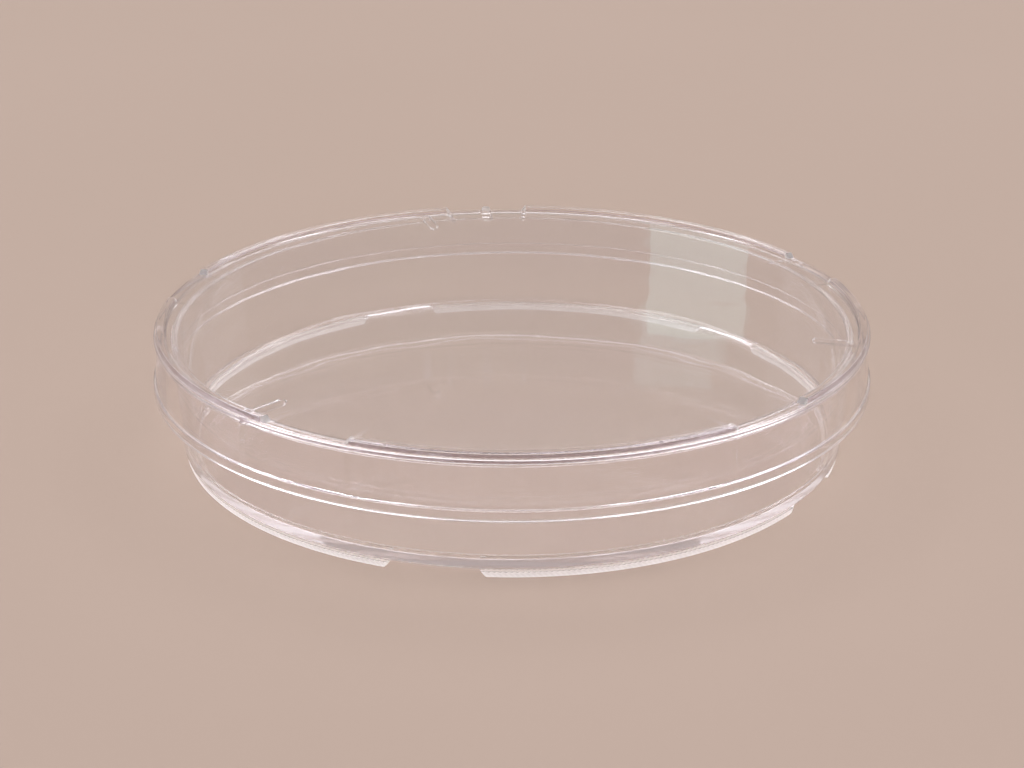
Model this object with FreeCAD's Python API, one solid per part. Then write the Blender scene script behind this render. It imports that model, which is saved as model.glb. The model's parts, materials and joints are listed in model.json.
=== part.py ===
import FreeCAD, Part

"""Petri dish with a vented, loose-fitting lid, in millimetres.

The origin is the centre of the plane the dish stands on, and +Z points up through the lid.
Two injection-moulded pieces make the dish: the base, and the lid that drops over it. Three short
ribs under the lid rest on the base's rim and leave a gap for air. The lid carries a low ring in
five arcs on top, and the base a foot in five arcs below, so that dishes stack and air passes between.
"""
import math
import os

from FreeCAD import Vector

# Overall sizes
LID_D = 90.0
OVERALL_H = 16.2
WALL = 0.9
UP = Vector(0, 0, 1)
CENTRE = Vector(0, 0, 0)

# Stacking arcs, the same on the lid and the foot: five arcs with gaps between them
ARC_COUNT = 5
ARC_PITCH = 360.0 / ARC_COUNT
ARC_GAP = 13.5
ARC_SPAN = ARC_PITCH - ARC_GAP
ARC_END_SLOPE = 45.0
ARC_ROUND = 0.15
ARC_DRAFT = 0.05

# Lid
RING_H = 0.6
RING_W = 1.0
RING_OUTER_R = 44.2
RING_GAP_AZIMUTH = 95.0
PLATE_TOP = OVERALL_H - RING_H
PLATE_UNDER = PLATE_TOP - WALL
PLATE_ROUND = 0.5
RIM_R = 44.6
RIM_H = 0.5
RIM_PROUD = 0.3
RIM_ROUND = 0.3
RIM_NECK = 0.1
RIM_LIP_H = 0.1
RIM_LIP_ROUND = 0.08
SKIRT_BOTTOM = 8.3
SKIRT_INNER_ROUND = 0.2
BAND_H = 1.4
BAND_R = LID_D / 2
BAND_PROUD = 0.35
BAND_ROUND = 0.3
BAND_TAPER = 0.06
BAND_TOP_ROUND = 0.2
BAND_STEP = 0.15

# Vent ribs under the lid
VENT_COUNT = 3
VENT_H = 0.4
VENT_W = 1.1
VENT_INNER_R = 38.2
VENT_OFFSET = 12.0

# Moulding gate left in one gap of the lid's ring
GATE_R = 0.6
GATE_H = 0.4
GATE_ROUND = 0.15
GATE_INSET = 0.1
GATE_AZIMUTH = RING_GAP_AZIMUTH

# Base
FOOT_H = 1.0
FOOT_W = 1.1
FOOT_OUTER_R = 41.45
FOOT_GAP_AZIMUTH = -102.0
BASE_FOOT_R = 41.75
BASE_RIM_R = 42.6
BASE_RIM_ROUND = 0.35
BASE_CORNER = 0.45
BASE_RIM_Z = PLATE_UNDER - VENT_H
FLOOR_TOP = FOOT_H + WALL
FLOOR_ROUND = 1.1
SINK = 0.3


def corner_arc(before, corner, after, radius):
    """Start, middle and end of the arc of this radius that is tangent to both sides of a corner."""
    into = before.sub(corner).normalize()
    out = after.sub(corner).normalize()
    half = into.getAngle(out) / 2
    bisector = into.add(out).normalize()
    reach = radius / math.tan(half)
    middle = corner + bisector * (radius / math.sin(half) - radius)
    return corner + into * reach, middle, corner + out * reach


def outline(corners):
    """Closed face in the XZ plane through corners given as (radius, height, rounding)."""
    points = [Vector(r, 0, z) for r, z, _ in corners]
    arcs = []
    for i, (_, _, rounding) in enumerate(corners):
        if rounding:
            arcs.append(corner_arc(points[i - 1], points[i], points[(i + 1) % len(points)], rounding))
        else:
            arcs.append((points[i], None, points[i]))
    edges = []
    for i, (start, middle, end) in enumerate(arcs):
        if middle is not None:
            edges.append(Part.Arc(start, middle, end).toShape())
        edges.append(Part.LineSegment(end, arcs[(i + 1) % len(arcs)][0]).toShape())
    return Part.Face(Part.Wire(edges))


def turned(corners, span=360.0):
    """Solid swept by turning an outline about the dish's axis, centred on azimuth 0."""
    solid = outline(corners).revolve(CENTRE, UP, span)
    solid.rotate(CENTRE, UP, -span / 2)
    return solid


def at_azimuth(shape, azimuth):
    """Copy of a shape turned about the dish's axis."""
    copy = shape.copy()
    copy.rotate(CENTRE, UP, azimuth)
    return copy


def sloped_ends(arc, root_z, grows):
    """Trims both ends of an arc so that they lean inwards as it grows up (1) or down (-1) from its root."""
    size = LID_D / 2
    cutter = Part.makeBox(size, WALL * 4, WALL * 4)
    cutter.rotate(CENTRE, Vector(1, 0, 0), ARC_END_SLOPE)
    if grows < 0:
        cutter = cutter.mirror(CENTRE, UP)
    cutter.translate(Vector(0, 0, root_z))
    cutter = at_azimuth(cutter, ARC_SPAN / 2)
    return arc.cut([cutter, cutter.mirror(CENTRE, Vector(0, 1, 0))])


def arcs_around(arc, gap_azimuth):
    """The five arcs, placed so that one gap is centred on the given azimuth."""
    first = gap_azimuth + ARC_PITCH / 2
    return [at_azimuth(arc, first + i * ARC_PITCH) for i in range(ARC_COUNT)]


def lid_shell():
    """Flat plate with a narrow rim, and a skirt that ends in a thicker band."""
    skirt_top_r = RIM_R - RIM_PROUD
    skirt_low_r = BAND_R - BAND_PROUD
    rim_under = PLATE_TOP - RIM_H
    band_top = SKIRT_BOTTOM + BAND_H
    return turned(
        [
            (0, PLATE_UNDER, 0),
            (skirt_top_r - WALL, PLATE_UNDER, PLATE_ROUND),
            (skirt_low_r - WALL, SKIRT_BOTTOM, SKIRT_INNER_ROUND),
            (BAND_R, SKIRT_BOTTOM, BAND_ROUND),
            (BAND_R - BAND_TAPER, band_top, BAND_TOP_ROUND),
            (skirt_low_r, band_top + BAND_STEP, 0),
            (skirt_top_r, rim_under - RIM_NECK, RIM_NECK),
            (RIM_R, rim_under + RIM_LIP_H, RIM_LIP_ROUND),
            (RIM_R, PLATE_TOP, RIM_ROUND),
            (0, PLATE_TOP, 0),
        ]
    )


def ring_arc():
    """One arc of the raised ring on the lid, rounded along its top."""
    inner = RING_OUTER_R - RING_W
    arc = turned(
        [
            (inner, PLATE_TOP - SINK, 0),
            (RING_OUTER_R, PLATE_TOP - SINK, 0),
            (RING_OUTER_R - ARC_DRAFT, OVERALL_H, ARC_ROUND),
            (inner, OVERALL_H, ARC_ROUND),
        ],
        ARC_SPAN,
    )
    return sloped_ends(arc, PLATE_TOP, 1)


def vent_rib():
    """Radial rib under the plate, with a round inner end, that holds the lid off the base."""
    outer_r = RIM_R - RIM_PROUD - WALL / 2
    underside = PLATE_UNDER - VENT_H
    height = VENT_H + SINK
    bar = Part.makeBox(outer_r - VENT_INNER_R, VENT_W, height, Vector(VENT_INNER_R, -VENT_W / 2, underside))
    tip = Part.makeCylinder(VENT_W / 2, height, Vector(VENT_INNER_R, 0, underside))
    return bar.fuse(tip)


def gate_mark():
    """Low round button left by the moulding gate, beside the rim in one gap of the ring."""
    centre_r = RIM_R - GATE_R - GATE_INSET
    button = Part.makeCylinder(GATE_R, GATE_H + SINK, Vector(centre_r, 0, PLATE_TOP - SINK))
    top = [edge for edge in button.Edges if abs(edge.CenterOfMass.z - PLATE_TOP - GATE_H) < 1e-6]
    return at_azimuth(button.makeFillet(GATE_ROUND, top), GATE_AZIMUTH)


def lid():
    """The whole lid: shell, stacking ring, vent ribs and gate mark."""
    rib = vent_rib()
    spacing = 360.0 / VENT_COUNT
    ribs = [at_azimuth(rib, RING_GAP_AZIMUTH + VENT_OFFSET + i * spacing) for i in range(VENT_COUNT)]
    added = arcs_around(ring_arc(), RING_GAP_AZIMUTH) + ribs + [gate_mark()]
    return lid_shell().fuse(added).removeSplitter()


def base_shell():
    """Flat floor and a slightly tapered wall with a rounded top edge."""
    return turned(
        [
            (0, FOOT_H, 0),
            (BASE_FOOT_R, FOOT_H, BASE_CORNER),
            (BASE_RIM_R, BASE_RIM_Z, BASE_RIM_ROUND),
            (BASE_RIM_R - WALL, BASE_RIM_Z, BASE_RIM_ROUND),
            (BASE_FOOT_R - WALL, FLOOR_TOP, FLOOR_ROUND),
            (0, FLOOR_TOP, 0),
        ]
    )


def foot_arc():
    """One arc of the foot under the base."""
    inner = FOOT_OUTER_R - FOOT_W
    arc = turned(
        [
            (inner, 0, ARC_ROUND),
            (FOOT_OUTER_R, 0, ARC_ROUND),
            (FOOT_OUTER_R, FOOT_H + SINK, 0),
            (inner - ARC_DRAFT, FOOT_H + SINK, 0),
        ],
        ARC_SPAN,
    )
    return sloped_ends(arc, FOOT_H, -1)


def base():
    """The whole base: shell and foot."""
    return base_shell().fuse(arcs_around(foot_arc(), FOOT_GAP_AZIMUTH)).removeSplitter()


def write(name, shape):
    """Checks that a piece is one sound solid, and writes its STEP file."""
    if not shape.isValid() or len(shape.Solids) != 1:
        raise SystemExit(f"{name}: valid {shape.isValid()}, {len(shape.Solids)} solids")
    solid = shape.Solids[0]
    solid.exportStep(f"parts/{name}.step")
    box = solid.optimalBoundingBox()
    print(f"{name}: {solid.Volume / 1000:.2f} cm3, z {box.ZMin:.2f} to {box.ZMax:.2f}, width {box.XLength:.2f}")


os.makedirs("parts", exist_ok=True)
write("base", base())
write("lid", lid())
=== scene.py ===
import json
import math

import bpy
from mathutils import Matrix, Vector


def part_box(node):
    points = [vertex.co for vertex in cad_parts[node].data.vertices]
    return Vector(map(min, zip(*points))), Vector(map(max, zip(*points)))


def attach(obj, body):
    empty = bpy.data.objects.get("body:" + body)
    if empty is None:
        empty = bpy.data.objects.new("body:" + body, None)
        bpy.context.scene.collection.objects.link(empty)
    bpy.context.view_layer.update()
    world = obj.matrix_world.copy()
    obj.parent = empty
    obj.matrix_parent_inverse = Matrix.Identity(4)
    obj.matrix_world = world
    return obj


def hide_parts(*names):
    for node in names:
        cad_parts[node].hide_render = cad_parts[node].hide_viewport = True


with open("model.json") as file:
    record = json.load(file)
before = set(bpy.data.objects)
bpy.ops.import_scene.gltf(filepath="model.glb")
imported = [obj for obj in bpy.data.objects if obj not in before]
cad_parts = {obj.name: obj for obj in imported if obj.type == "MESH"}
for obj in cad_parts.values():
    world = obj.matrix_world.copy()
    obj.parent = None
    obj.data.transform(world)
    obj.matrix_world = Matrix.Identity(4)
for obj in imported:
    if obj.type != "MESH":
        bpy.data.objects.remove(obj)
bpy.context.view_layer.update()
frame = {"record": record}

MM = 0.001
lid_low, lid_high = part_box("lid")
base_low, base_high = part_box("base")
mounts = {mount["name"]: mount for mount in frame["record"]["mounts"]}

# Sizes that the frame gives
LID_R = lid_high.x
RING_Z = lid_high.z
PLATE_Z = mounts["lid_top"]["pos_m"][2]
SKIRT_Z = lid_low.z
RING_INNER_R = mounts["stacking_ring"]["dims"]["r_mm"] * MM
FOOT_R = mounts["stacking_foot"]["dims"]["r_mm"] * MM
BASE_R = base_high.x
FLOOR_Z = base_low.z

# Clear faces that would touch are kept this far apart
CONTACT_GAP = 0.02 * MM

# Lid: plate, rim, skirt and the band round its lower edge
WALL = 0.9 * MM
UNDER_Z = PLATE_Z - WALL
PLATE_ROUND = 0.5 * MM
RIM_R = LID_R - 0.4 * MM
RIM_H = 0.5 * MM
RIM_PROUD = 0.3 * MM
RIM_ROUND = 0.3 * MM
RIM_NECK = 0.1 * MM
RIM_LIP_H = 0.1 * MM
RIM_LIP_ROUND = 0.08 * MM
SKIRT_INNER_ROUND = 0.2 * MM
BAND_H = 1.4 * MM
BAND_PROUD = 0.35 * MM
BAND_ROUND = 0.3 * MM
BAND_TAPER = 0.06 * MM
BAND_TOP_ROUND = 0.2 * MM
BAND_STEP = 0.15 * MM

# Ring and foot: five arcs each, with leaning ends
ARC_PITCH = math.radians(72)
ARC_GAP = math.radians(13.5)
ARC_ROUND = 0.15 * MM
ARC_LEAN = math.radians(45)
DRAFT = 0.04 * MM
RING_W = 1.0 * MM
RING_OUTER_R = RING_INNER_R + RING_W
RING_GAP_AT = math.radians(95)
RING_RAMP = (RING_Z - PLATE_Z) * math.tan(ARC_LEAN) / RING_INNER_R
FOOT_H = 1.0 * MM
FOOT_W = 1.1 * MM
FOOT_GAP_AT = math.radians(-102)
FOOT_RAMP = FOOT_H * math.tan(ARC_LEAN) / FOOT_R

# Marks on the lid: ribs under the plate that hold it off the base, and the gate's button in a gap of the ring
RIB_H = 0.4 * MM
RIB_W = 1.1 * MM
RIB_TIP_R = 38.2 * MM
RIBS_AT = [RING_GAP_AT + math.radians(12 + 120 * i) for i in range(3)]
GATE_R = 0.6 * MM
GATE_H = 0.4 * MM
GATE_CENTRE_R = RIM_R - GATE_R - 0.1 * MM
GATE_CENTRE = (GATE_CENTRE_R * math.cos(RING_GAP_AT), GATE_CENTRE_R * math.sin(RING_GAP_AT))
MARK_EDGE = 0.12 * MM

# Base: a wall that leans out, and the rounds at its foot, at its rim and in the well
BASE_LOW_R = BASE_R - 0.85 * MM
BASE_RIM_Z = UNDER_Z - RIB_H - CONTACT_GAP
BASE_TAPER = math.atan2(BASE_R - BASE_LOW_R, BASE_RIM_Z - FOOT_H)
BASE_CORNER = 0.45 * MM
BASE_CORNER_R = BASE_LOW_R - BASE_CORNER / math.tan((math.pi / 2 + BASE_TAPER) / 2)
BASE_RIM_ROUND = 0.35 * MM
WELL_ROUND = 1.1 * MM

# Mesh density
ROUND_STEPS = 5
COLUMN = math.radians(0.5)
COLUMN_CLEAR = COLUMN * 0.4
END_STEPS = 8
END_REACH = 0.6
MARK_STEP = 0.07 * MM
MARK_REACH = 0.77 * MM
DISC_ROWS = 8
DISC_SHRINK = 0.65
SHARP_FROM = math.radians(38)

# Plastic
POLYSTYRENE_IOR = 1.59
WHITE = (1, 1, 1, 1)
LID_TINT = (0.985, 0.975, 0.99, 1)
BASE_TINT = (0.985, 0.975, 0.985, 1)
MATT_COLOUR = (0.66, 0.64, 0.62, 1)
MATT_ROUGHNESS = 0.6
DEPTH_COLOUR = (0.735, 0.67, 0.715, 1)
LID_ABSORPTION = 20
BASE_ABSORPTION = 7
SHADOW_PASS = (0.96, 0.96, 0.96, 1)
HATCH_LINES = 413
HATCH_DEPTH = 0.09
FOOT_MATT = 0.55
ENDS_MATT = 0.6

# Floor and sky
FLOOR_SIZE = 3.0
FLOOR_DARK = (0.271, 0.215, 0.175, 1)
FLOOR_PALE = (0.288, 0.228, 0.189, 1)
SKY_LOW = (0.47, 0.39, 0.34, 1)
SKY_HIGH = (0.62, 0.58, 0.61, 1)
ARCH_LIGHT = (4.6, 4.5, 4.65, 1)
STRIP_LIGHT = (6.0, 5.85, 6.05, 1)

# Camera
LENS = 70
VIEWPOINT = (0, -0.2354, 0.1023)
TARGET = (0, 0, 0.006)


def smooth(share):
    """Eases from 0 to 1 as share does."""
    share = min(max(share, 0.0), 1.0)
    return share * share * (3 - 2 * share)


def spaced(start, end, step):
    """Even places from start to end, about a step apart."""
    count = max(1, round(abs(end - start) / step))
    return [start + (end - start) * i / count for i in range(count + 1)]


def disc_rows(edge_r):
    """Radii of rows across a flat disc, closer together towards its middle."""
    return [edge_r * DISC_SHRINK**k for k in range(DISC_ROWS, 0, -1)]


def arc(centre, radius, start, end):
    """Outline points along an arc, given by its angles."""
    turns = spaced(start, end, (end - start) / ROUND_STEPS)
    return [(centre[0] + radius * math.cos(a), centre[1] + radius * math.sin(a), 0) for a in turns]


def rounded(corners):
    """Outline points (radius, height) through corners given as (radius, height, rounding)."""
    points = []
    for i, (r, z, rounding) in enumerate(corners):
        if not rounding:
            points.append((r, z))
            continue
        corner = Vector((r, z))
        before = (Vector(corners[i - 1][:2]) - corner).normalized()
        after = (Vector(corners[i + 1][:2]) - corner).normalized()
        half = before.angle(after) / 2
        reach = rounding / math.tan(half)
        centre = corner + (before + after).normalized() * (rounding / math.sin(half))
        start = corner + before * reach - centre
        end = corner + after * reach - centre
        for k in range(ROUND_STEPS + 1):
            points.append(tuple(centre + start.slerp(end, k / ROUND_STEPS) * rounding))
    return points


def edge_drop(r, centre_r, rounding):
    """How far a flat face has curved away at radius r, where its rounded edge starts at centre_r."""
    over = min(max(r - centre_r, 0.0), rounding)
    return rounding - math.sqrt(rounding * rounding - over * over)


def from_gap(azimuth, gap_at):
    """Angle from the middle of the nearest gap between arcs."""
    return abs((azimuth - gap_at + ARC_PITCH / 2) % ARC_PITCH - ARC_PITCH / 2)


def arc_rise(azimuth, gap_at, ramp):
    """Share of an arc's full height at an azimuth: 0 in a gap, 1 past the arc's leaning end."""
    return smooth((from_gap(azimuth, gap_at) - ARC_GAP / 2) / ramp)


def raised(distance, half_width):
    """Share of a mark's full height at a distance from its middle."""
    return smooth((half_width + MARK_EDGE / 2 - distance) / MARK_EDGE)


def columns(gap_at, ramp, marks):
    """The mesh's columns as (azimuth, sideways): close together over each arc's ends and over each mark,
    where they keep a fixed distance sideways from the mark's middle line, and even elsewhere."""
    found = []
    taken = []
    for mark in marks:
        found += [(mark, side) for side in spaced(-MARK_REACH, MARK_REACH, MARK_STEP)]
        taken.append((mark, MARK_REACH / RING_INNER_R))
    reach = ramp * END_REACH
    for i in range(round(2 * math.pi / ARC_PITCH)):
        for side in (-1, 1):
            end = gap_at + i * ARC_PITCH + side * (ARC_GAP + ramp) / 2
            found += [(azimuth, 0.0) for azimuth in spaced(end - reach, end + reach, ramp / END_STEPS)]
            taken.append((end, reach))
    for azimuth in spaced(0, 2 * math.pi - COLUMN, COLUMN):
        if all(abs(math.remainder(azimuth - at, 2 * math.pi)) > near + COLUMN_CLEAR for at, near in taken):
            found.append((azimuth, 0.0))
    return sorted(found, key=lambda column: (column[0] + column[1] / RING_INNER_R) % (2 * math.pi))


def azimuth_at(column, r):
    """A column's azimuth at radius r."""
    middle, sideways = column
    return middle + math.asin(sideways / max(r, RIB_TIP_R - RIB_W))


def turned(name, outline, column_list, height):
    """Closed mesh of an outline turned about the axis, its points' heights set by height(r, z, azimuth)."""
    inner = outline[1:-1]
    vertices = [(0, 0, outline[0][1]), (0, 0, outline[-1][1])]
    for column in column_list:
        for r, z in inner:
            azimuth = azimuth_at(column, r)
            vertices.append((r * math.cos(azimuth), r * math.sin(azimuth), height(r, z, azimuth)))
    rows = len(inner)
    faces = []
    for j in range(len(column_list)):
        here = 2 + j * rows
        there = 2 + (j + 1) % len(column_list) * rows
        faces.append((0, there, here))
        for i in range(rows - 1):
            faces.append((here + i, there + i, there + i + 1, here + i + 1))
        faces.append((here + rows - 1, there + rows - 1, 1))
    mesh = bpy.data.meshes.new(name)
    mesh.from_pydata(vertices, [], faces)
    mesh.shade_smooth()
    mesh.set_sharp_from_angle(angle=SHARP_FROM)
    piece = bpy.data.objects.new(name, mesh)
    bpy.context.scene.collection.objects.link(piece)
    piece.modifiers.new("flat_faces_lead", "WEIGHTED_NORMAL").keep_sharp = True
    return piece


def lid_outline():
    """The lid's section: under the plate, down inside the skirt, up its outside, and over the ring."""
    skirt_top_r = RIM_R - RIM_PROUD
    skirt_low_r = LID_R - BAND_PROUD
    rim_under = PLATE_Z - RIM_H
    band_top = SKIRT_Z + BAND_H
    tip = spaced(RIB_TIP_R - RIB_W / 2 - MARK_EDGE, RIB_TIP_R + MARK_EDGE, MARK_STEP)
    gate_start = GATE_CENTRE_R - GATE_R - MARK_EDGE
    ring_top = spaced(RING_OUTER_R - 2 * ARC_ROUND, RING_INNER_R + 2 * ARC_ROUND, MARK_STEP)
    before_ring = spaced(RING_INNER_R - 2 * DRAFT, gate_start, MARK_STEP)
    return rounded(
        [
            (0, UNDER_Z, 0),
            *[(r, UNDER_Z, 0) for r in disc_rows(tip[0])],
            *[(r, UNDER_Z, 0) for r in tip],
            (skirt_top_r - WALL, UNDER_Z, PLATE_ROUND),
            (skirt_low_r - WALL, SKIRT_Z, SKIRT_INNER_ROUND),
            (LID_R, SKIRT_Z, BAND_ROUND),
            (LID_R - BAND_TAPER, band_top, BAND_TOP_ROUND),
            (skirt_low_r, band_top + BAND_STEP, 0),
            (skirt_top_r, rim_under - RIM_NECK, RIM_NECK),
            (RIM_R, rim_under + RIM_LIP_H, RIM_LIP_ROUND),
            (RIM_R, PLATE_Z, RIM_ROUND),
            (RING_OUTER_R + DRAFT, PLATE_Z, 0),
            (RING_OUTER_R, RING_Z, ARC_ROUND),
            *[(r, RING_Z, 0) for r in ring_top],
            (RING_INNER_R, RING_Z, ARC_ROUND),
            (RING_INNER_R - DRAFT, PLATE_Z, 0),
            *[(r, PLATE_Z, 0) for r in before_ring],
            *[(r, PLATE_Z, 0) for r in reversed(disc_rows(before_ring[-1]))],
            (0, PLATE_Z, 0),
        ]
    )


def lid_height(r, z, azimuth):
    """Height of a point of the lid's skin, with the ring's gaps, the vent ribs and the gate mark."""
    plate = PLATE_Z - edge_drop(r, RIM_R - RIM_ROUND, RIM_ROUND)
    if z > plate - DRAFT / 10:
        z = plate + (z - plate) * arc_rise(azimuth, RING_GAP_AT, RING_RAMP)
        place = (r * math.cos(azimuth), r * math.sin(azimuth))
        share = raised(math.dist(place, GATE_CENTRE), GATE_R)
        if share > 0:
            z = max(z, PLATE_Z + GATE_H * share)
    if UNDER_Z - RIB_H < z < UNDER_Z + DRAFT and RIB_TIP_R / 2 < r < RIM_R - WALL:
        for rib in RIBS_AT:
            along = r * math.cos(azimuth - rib)
            sideways = r * math.sin(azimuth - rib)
            away = math.hypot(min(along - RIB_TIP_R, 0), sideways)
            if along > 0:
                z = min(z, UNDER_Z - RIB_H * raised(away, RIB_W / 2))
    return z


def base_outline():
    """The base's section: under the floor, over the foot, up the wall and down into the well."""
    corner = (BASE_CORNER_R, FOOT_H + BASE_CORNER)
    foot_root = -math.acos((FOOT_R + DRAFT - BASE_CORNER_R) / BASE_CORNER)
    return rounded(
        [
            (0, FOOT_H, 0),
            *[(r, FOOT_H, 0) for r in disc_rows(FOOT_R - FOOT_W - DRAFT)],
            (FOOT_R - FOOT_W - DRAFT, FOOT_H, 0),
            (FOOT_R - FOOT_W, FLOOR_Z, ARC_ROUND),
            (FOOT_R, FLOOR_Z, ARC_ROUND),
            *arc(corner, BASE_CORNER, foot_root, -BASE_TAPER),
            (BASE_R, BASE_RIM_Z, BASE_RIM_ROUND),
            (BASE_R - WALL, BASE_RIM_Z, BASE_RIM_ROUND),
            (BASE_LOW_R - WALL, FOOT_H + WALL, WELL_ROUND),
            *[(r, FOOT_H + WALL, 0) for r in reversed(disc_rows(BASE_LOW_R - WALL - WELL_ROUND))],
            (0, FOOT_H + WALL, 0),
        ]
    )


def base_height(r, z, azimuth):
    """Height of a point of the base's skin, with the foot's gaps."""
    under = FOOT_H + edge_drop(r, BASE_CORNER_R, BASE_CORNER)
    if z < under and r < FOOT_R + DRAFT * 2:
        return under + (z - under) * arc_rise(azimuth, FOOT_GAP_AT, FOOT_RAMP)
    return z


def math_node(owner, operation, *values):
    """Output of a maths node in a material or world, fed by other outputs or plain numbers."""
    node = owner.node_tree.nodes.new("ShaderNodeMath")
    node.operation = operation
    for value, socket in zip(values, node.inputs):
        if isinstance(value, (int, float)):
            socket.default_value = value
        else:
            owner.node_tree.links.new(value, socket)
    return node.outputs[0]


def mapped(owner, source, start, end, low=0.0, high=1.0, easing="LINEAR"):
    """Output that goes from low to high as source goes from start to end."""
    node = owner.node_tree.nodes.new("ShaderNodeMapRange")
    node.interpolation_type = easing
    for name, value in (("From Min", start), ("From Max", end), ("To Min", low), ("To Max", high)):
        node.inputs[name].default_value = value
    owner.node_tree.links.new(source, node.inputs["Value"])
    return node.outputs["Result"]


def mixed(owner, share, first, second):
    """Colour that goes from first, a plain colour or an output, to second, a plain colour."""
    node = owner.node_tree.nodes.new("ShaderNodeMix")
    node.data_type = "RGBA"
    node.inputs["B"].default_value = second
    owner.node_tree.links.new(share, node.inputs["Factor"])
    if isinstance(first, tuple):
        node.inputs["A"].default_value = first
    else:
        owner.node_tree.links.new(first, node.inputs["A"])
    return node.outputs["Result"]


def noise(owner, place, scale, detail, seed=0.0):
    """Noise over the given coordinates, moved along by seed."""
    mapping = owner.node_tree.nodes.new("ShaderNodeMapping")
    mapping.inputs["Location"].default_value = (seed, seed * 0.7, 0)
    owner.node_tree.links.new(place, mapping.inputs["Vector"])
    texture = owner.node_tree.nodes.new("ShaderNodeTexNoise")
    texture.inputs["Scale"].default_value = scale
    texture.inputs["Detail"].default_value = detail
    owner.node_tree.links.new(mapping.outputs["Vector"], texture.inputs["Vector"])
    return texture.outputs["Fac"]


def blended(owner, share, first, second):
    """Shader that goes from first to second."""
    node = owner.node_tree.nodes.new("ShaderNodeMixShader")
    for value, socket in zip((share, first, second), node.inputs):
        owner.node_tree.links.new(value, socket)
    return node.outputs[0]


def matt_foot(material, parts):
    """How matt the base is: its foot, in fine slanting lines."""
    azimuth = math_node(material, "ARCTAN2", parts.outputs["Y"], parts.outputs["X"])
    across = math_node(material, "MULTIPLY", azimuth, HATCH_LINES)
    slanted = math_node(material, "MULTIPLY_ADD", parts.outputs["Z"], HATCH_LINES / FOOT_R, across)
    wave = math_node(material, "SINE", slanted)
    lines = math_node(material, "MULTIPLY_ADD", wave, HATCH_DEPTH, FOOT_MATT)
    below = mapped(material, parts.outputs["Z"], FOOT_H * 0.9, FOOT_H * 0.6, easing="SMOOTHSTEP")
    return math_node(material, "MULTIPLY", below, lines)


def matt_ring_ends(material, parts):
    """How matt the lid is: only the ends of the ring's arcs, and the gate mark between two of them."""
    azimuth = math_node(material, "ARCTAN2", parts.outputs["Y"], parts.outputs["X"])
    turned_back = math_node(material, "SUBTRACT", azimuth, RING_GAP_AT)
    off_gap = math_node(material, "PINGPONG", turned_back, ARC_PITCH / 2)
    in_gap = math_node(material, "LESS_THAN", off_gap, ARC_GAP / 2 + RING_RAMP * 1.1)
    above_plate = math_node(material, "GREATER_THAN", parts.outputs["Z"], PLATE_Z + DRAFT)
    return math_node(material, "MULTIPLY", math_node(material, "MULTIPLY", in_gap, above_plate), ENDS_MATT)


def polish(material, place, tint, seed, matt):
    """Clear glossy surface with a cloudy faint tint, flow ripples, and fine scuffs that dull it."""
    nodes, links = material.node_tree.nodes, material.node_tree.links
    shader = nodes.new("ShaderNodeBsdfPrincipled")
    shader.inputs["Transmission Weight"].default_value = 1.0
    shader.inputs["IOR"].default_value = POLYSTYRENE_IOR
    clouds = mapped(material, noise(material, place, 45, 2, seed), 0.3, 0.7, 0.2, 1.0)
    links.new(mixed(material, clouds, WHITE, tint), shader.inputs["Base Color"])
    scuffs = mapped(material, noise(material, place, 1800, 3, seed), 0.3, 0.7, 0.004, 0.03)
    dull = math_node(material, "MULTIPLY_ADD", matt, MATT_ROUGHNESS, scuffs)
    links.new(dull, shader.inputs["Roughness"])
    ripple = nodes.new("ShaderNodeBump")
    ripple.inputs["Strength"].default_value = 0.5
    ripple.inputs["Distance"].default_value = 0.05 * MM
    links.new(noise(material, place, 90, 1, seed), ripple.inputs["Height"])
    links.new(ripple.outputs["Normal"], shader.inputs["Normal"])
    return shader.outputs[0]


def clear_plastic(name, tint, seed, absorption, matt_zone):
    """Clear moulded polystyrene that lets the lamps' light through. It turns matt where matt_zone says, and
    absorption is how fast it darkens with depth."""
    material = bpy.data.materials.new(name)
    material.use_nodes = True
    nodes, links = material.node_tree.nodes, material.node_tree.links
    nodes.clear()
    place = nodes.new("ShaderNodeTexCoord").outputs["Object"]
    parts = nodes.new("ShaderNodeSeparateXYZ")
    links.new(place, parts.inputs[0])
    matt = matt_zone(material, parts)
    scatter = nodes.new("ShaderNodeBsdfTranslucent")
    scatter.inputs["Color"].default_value = MATT_COLOUR
    surface = blended(material, matt, polish(material, place, tint, seed, matt), scatter.outputs[0])
    lamps_pass = nodes.new("ShaderNodeBsdfTransparent")
    lamps_pass.inputs["Color"].default_value = SHADOW_PASS
    to_lamp = nodes.new("ShaderNodeLightPath").outputs["Is Shadow Ray"]
    depth = nodes.new("ShaderNodeVolumeAbsorption")
    depth.inputs["Color"].default_value = DEPTH_COLOUR
    depth.inputs["Density"].default_value = absorption
    out = nodes.new("ShaderNodeOutputMaterial")
    links.new(blended(material, to_lamp, surface, lamps_pass.outputs[0]), out.inputs["Surface"])
    links.new(depth.outputs[0], out.inputs["Volume"])
    return material


def floor_material():
    """Warm, pale, matt floor with a faint mottle."""
    material = bpy.data.materials.new("floor")
    material.use_nodes = True
    nodes, links = material.node_tree.nodes, material.node_tree.links
    shader = nodes["Principled BSDF"]
    shader.inputs["Roughness"].default_value = 0.9
    shader.inputs["Specular IOR Level"].default_value = 0.1
    place = nodes.new("ShaderNodeTexCoord").outputs["Object"]
    mottle = noise(material, place, 6, 2)
    links.new(mixed(material, mottle, FLOOR_DARK, FLOOR_PALE), shader.inputs["Base Color"])
    return material


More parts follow.
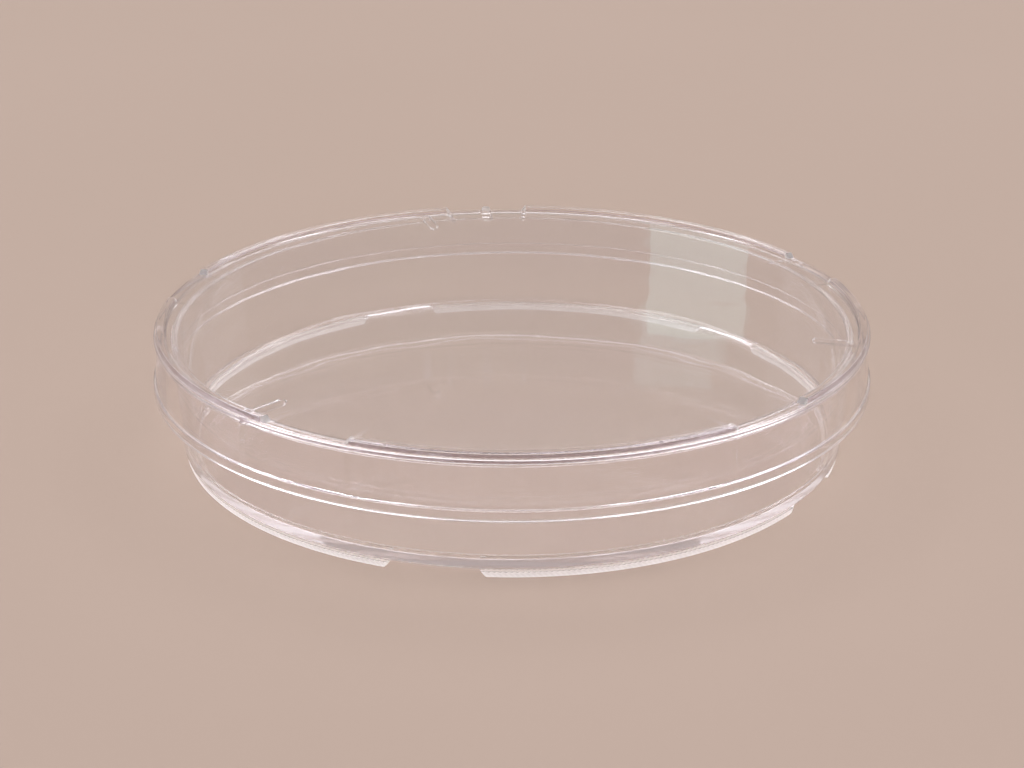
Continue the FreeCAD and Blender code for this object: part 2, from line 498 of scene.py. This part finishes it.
def floor():
    """Wide plain floor just under the foot."""
    mesh = bpy.data.meshes.new("floor")
    z = FLOOR_Z - CONTACT_GAP
    corners = [(x * FLOOR_SIZE, y * FLOOR_SIZE, z) for x, y in ((-1, -1), (1, -1), (1, 1), (-1, 1))]
    mesh.from_pydata(corners, [], [(0, 1, 2, 3)])
    mesh.materials.append(floor_material())
    piece = bpy.data.objects.new("floor", mesh)
    bpy.context.scene.collection.objects.link(piece)


def aim(thing, target):
    """Turns a camera or lamp to look at a point."""
    thing.rotation_euler = (Vector(target) - thing.location).to_track_quat("-Z", "Y").to_euler()


def soft_light(name, place, width, height, power, colour):
    """Plain panel of light that faces the dish."""
    data = bpy.data.lights.new(name, "AREA")
    data.shape = "RECTANGLE"
    data.size = width
    data.size_y = height
    data.energy = power
    data.color = colour
    lamp = bpy.data.objects.new(name, data)
    lamp.location = place
    bpy.context.scene.collection.objects.link(lamp)
    aim(lamp, (0, 0, 0))


def surround():
    """Sky of the studio: dim and warm near the horizon, with a bright strip from side to side, open right
    overhead so that it doesn't blank the plate out from above, and a bright arch round the back."""
    world = bpy.data.worlds.new("surround")
    world.use_nodes = True
    nodes, links = world.node_tree.nodes, world.node_tree.links
    parts = nodes.new("ShaderNodeSeparateXYZ")
    links.new(nodes.new("ShaderNodeTexCoord").outputs["Generated"], parts.inputs[0])

    def where(*limits):
        """Share of light in the directions inside all the limits, each given as (axis, start, end)."""
        share = 1.0
        for axis, start, end in limits:
            fade = mapped(world, parts.outputs[axis], start, end, easing="SMOOTHSTEP")
            share = math_node(world, "MULTIPLY", fade, share)
        return share

    walls = mixed(world, where(("Z", 0.35, 0.6)), SKY_LOW, SKY_HIGH)
    arch = where(("Z", 0.56, 0.66), ("Z", 0.84, 0.74), ("Y", 0.0, 0.2))
    strip = where(("Y", -0.34, -0.24), ("Y", 0.14, 0.04), ("Z", 0.45, 0.6), ("Z", 0.985, 0.95))
    colour = mixed(world, strip, mixed(world, arch, walls, ARCH_LIGHT), STRIP_LIGHT)
    links.new(colour, nodes["Background"].inputs["Color"])
    bpy.context.scene.world = world


def studio():
    """Plain soft studio light: the surround, a panel behind each side, and a dim one far behind."""
    surround()
    for name, side in (("left_side", -1), ("right_side", 1)):
        soft_light(name, (side * 0.6, 0.6, 0.36), 0.6, 0.4, 0.5, (0.97, 0.96, 1.0))
    soft_light("far_panel", (0.136, 1.14, 0.364), 0.07, 0.167, 0.010, (0.6, 1.0, 1.0))
    bpy.context.scene.view_settings.view_transform = "Standard"
    cycles = bpy.context.scene.cycles
    cycles.max_bounces = 100
    cycles.transmission_bounces = 100
    cycles.glossy_bounces = 100
    cycles.transparent_max_bounces = 40


def camera():
    """Looks down at the dish from the front, close by."""
    data = bpy.data.cameras.new("camera")
    data.lens = LENS
    data.clip_start = 0.01
    viewer = bpy.data.objects.new("camera", data)
    viewer.location = VIEWPOINT
    bpy.context.scene.collection.objects.link(viewer)
    aim(viewer, TARGET)
    bpy.context.scene.camera = viewer


lid_columns = columns(RING_GAP_AT, RING_RAMP, RIBS_AT + [RING_GAP_AT])
lid = turned("lid_shell", lid_outline(), lid_columns, lid_height)
base = turned("base_shell", base_outline(), columns(FOOT_GAP_AT, FOOT_RAMP, []), base_height)
lid.data.materials.append(clear_plastic("lid_polystyrene", LID_TINT, 3.1, LID_ABSORPTION, matt_ring_ends))
base.data.materials.append(clear_plastic("base_polystyrene", BASE_TINT, 8.4, BASE_ABSORPTION, matt_foot))
for piece, node in ((lid, "lid"), (base, "base")):
    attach(piece, node)
    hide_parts(node)
floor()
studio()
camera()
